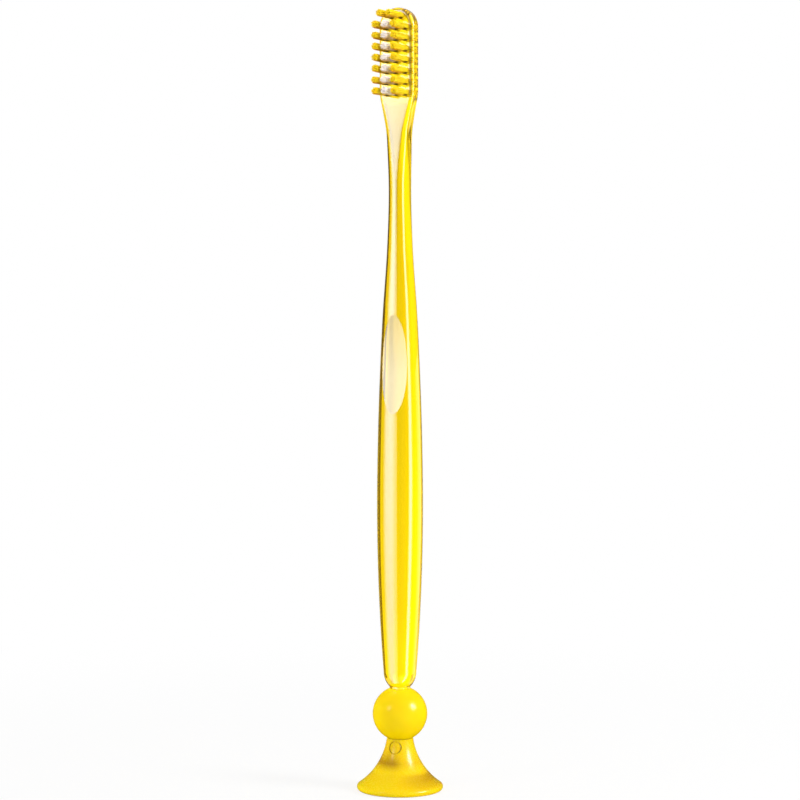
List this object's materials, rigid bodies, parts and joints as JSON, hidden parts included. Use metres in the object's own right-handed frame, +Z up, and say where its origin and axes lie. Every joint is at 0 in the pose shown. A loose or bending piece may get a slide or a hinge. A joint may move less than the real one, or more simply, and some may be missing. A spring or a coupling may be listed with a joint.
{
  "type": "manual toothbrush",
  "caption": "Manual toothbrush with a clear handle that stands on a soft ball and a suction cup.",
  "frame": {"origin": "bottom centre of the suction cup's rim, on the surface that it stands on", "axes": "+Z up along the handle, bristles point to -Y, +X across the head"},
  "size_m": [0.0204, 0.0215, 0.185],
  "materials": {
    "clear_plastic": "clear yellow moulded plastic, polished",
    "ball_rubber": "soft translucent yellow elastomer, satin",
    "cup_rubber": "soft translucent yellow elastomer, glossy",
    "yellow_bristles": "yellow nylon filaments",
    "white_bristles": "white nylon filaments",
    "anchor_metal": "thin flat metal strip"
  },
  "bodies": {
    "foot": {"suction_cup": "cup_rubber"},
    "ball": {"ball": "ball_rubber"},
    "brush": {"handle": "clear_plastic", "tuft_anchors": "anchor_metal", "tuft_row1_left": "yellow_bristles", "tuft_row1_right": "yellow_bristles", "tuft_row2_left": "yellow_bristles", "tuft_row2_middle": "white_bristles", "tuft_row2_right": "yellow_bristles", "tuft_row3_left": "yellow_bristles", "tuft_row3_middle": "white_bristles", "tuft_row3_right": "yellow_bristles", "tuft_row4_left": "yellow_bristles", "tuft_row4_middle": "white_bristles", "tuft_row4_right": "yellow_bristles", "tuft_row5_left": "yellow_bristles", "tuft_row5_middle": "white_bristles", "tuft_row5_right": "yellow_bristles", "tuft_row6_left": "yellow_bristles", "tuft_row6_middle": "white_bristles", "tuft_row6_right": "yellow_bristles", "tuft_row7_left": "yellow_bristles", "tuft_row7_middle": "white_bristles", "tuft_row7_right": "yellow_bristles", "tuft_row8_left": "yellow_bristles", "tuft_row8_middle": "white_bristles", "tuft_row8_right": "yellow_bristles"}
  },
  "joints": [
    {"name": "ball_swivel", "type": "hinge", "parent": "foot", "child": "ball", "pos_m": [0, 0, 0.0183], "axis": [0, 0, 1], "continuous": true},
    {"name": "brush_pull", "type": "slide", "parent": "ball", "child": "brush", "axis": [0, 0, 1], "range_m": [0, 0.0085]}
  ]
}
